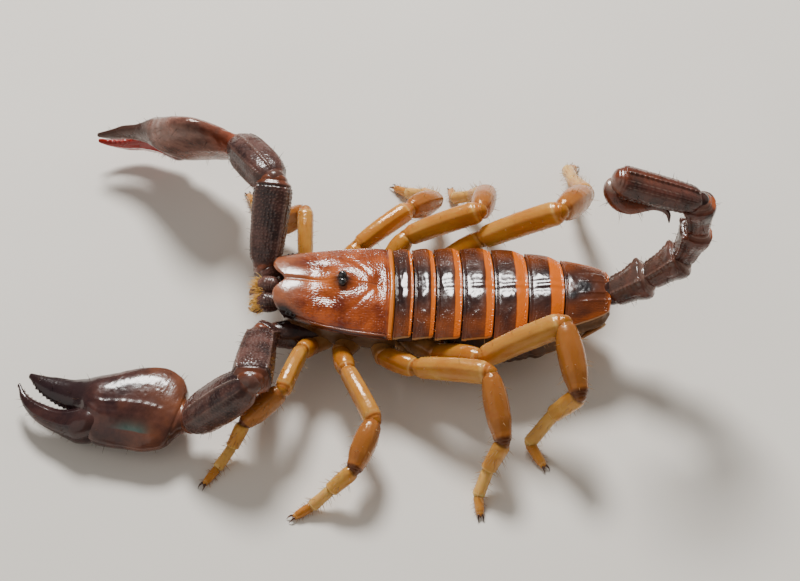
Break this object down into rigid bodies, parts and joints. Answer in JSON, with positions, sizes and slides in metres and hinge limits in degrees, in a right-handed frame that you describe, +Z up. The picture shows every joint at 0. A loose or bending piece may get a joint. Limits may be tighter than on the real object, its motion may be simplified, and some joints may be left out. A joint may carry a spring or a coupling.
{
  "type": "scorpion",
  "caption": "Desert scorpion as a still life-size model, standing with broad claws forward and tail curled up over its back.",
  "frame": {"origin": "Centre of the bounding box in X and Y, at the level of the soles, which stand on Z = 0.", "axes": "+Z up, -X the way the animal faces, -Y its left side and +Y its right side."},
  "size_m": [0.0642, 0.0452, 0.0235],
  "materials": {
    "carapace_shell": "glossy shell, reddish mahogany",
    "tergite_shell": "glossy shell, near-black brown with amber rear bands",
    "belly_shell": "satin shell, amber brown",
    "pleura_skin": "soft folded skin, dark grey brown",
    "leg_shell": "translucent amber shell",
    "palp_shell": "granular shell, dark grey brown",
    "hand_shell": "glossy pitted shell, dark purple brown",
    "tail_shell": "satin keeled shell, dark brown",
    "sting_shell": "smooth shell, rusty red brown",
    "eye_lens": "polished black"
  },
  "bodies": {
    "root": {"carapace": "carapace_shell", "eye_left": "eye_lens", "eye_right": "eye_lens", "chelicera_left": "palp_shell", "chelicera_right": "palp_shell", "prosoma_base": "belly_shell", "tergite_1": "tergite_shell", "tergite_2": "tergite_shell", "tergite_3": "tergite_shell", "tergite_4": "tergite_shell", "tergite_5": "tergite_shell", "tergite_6": "tergite_shell", "tergite_7": "tergite_shell", "abdomen": "pleura_skin", "sternite_3": "belly_shell", "sternite_4": "belly_shell", "sternite_5": "belly_shell", "sternite_6": "belly_shell", "sternite_7": "belly_shell", "pectines": "belly_shell", "metasoma_1": "tail_shell", "metasoma_2": "tail_shell", "metasoma_3": "tail_shell", "metasoma_4": "tail_shell", "metasoma_5": "tail_shell", "telson": "sting_shell", "palp_left_trochanter": "palp_shell", "palp_left_femur": "palp_shell", "palp_left_patella": "palp_shell", "palp_left_hand": "hand_shell", "palp_left_finger": "hand_shell", "leg_left_1_femur": "leg_shell", "leg_left_1_patella": "leg_shell", "leg_left_1_foot": "leg_shell", "leg_left_2_femur": "leg_shell", "leg_left_2_patella": "leg_shell", "leg_left_2_foot": "leg_shell", "leg_left_3_femur": "leg_shell", "leg_left_3_patella": "leg_shell", "leg_left_3_foot": "leg_shell", "leg_left_4_femur": "leg_shell", "leg_left_4_patella": "leg_shell", "leg_left_4_foot": "leg_shell", "palp_right_trochanter": "palp_shell", "palp_right_femur": "palp_shell", "palp_right_patella": "palp_shell", "palp_right_hand": "hand_shell", "palp_right_finger": "hand_shell", "leg_right_1_femur": "leg_shell", "leg_right_1_patella": "leg_shell", "leg_right_1_foot": "leg_shell", "leg_right_2_femur": "leg_shell", "leg_right_2_patella": "leg_shell", "leg_right_2_foot": "leg_shell", "leg_right_3_femur": "leg_shell", "leg_right_3_patella": "leg_shell", "leg_right_3_foot": "leg_shell", "leg_right_4_femur": "leg_shell", "leg_right_4_patella": "leg_shell", "leg_right_4_foot": "leg_shell"}
  },
  "joints": []
}
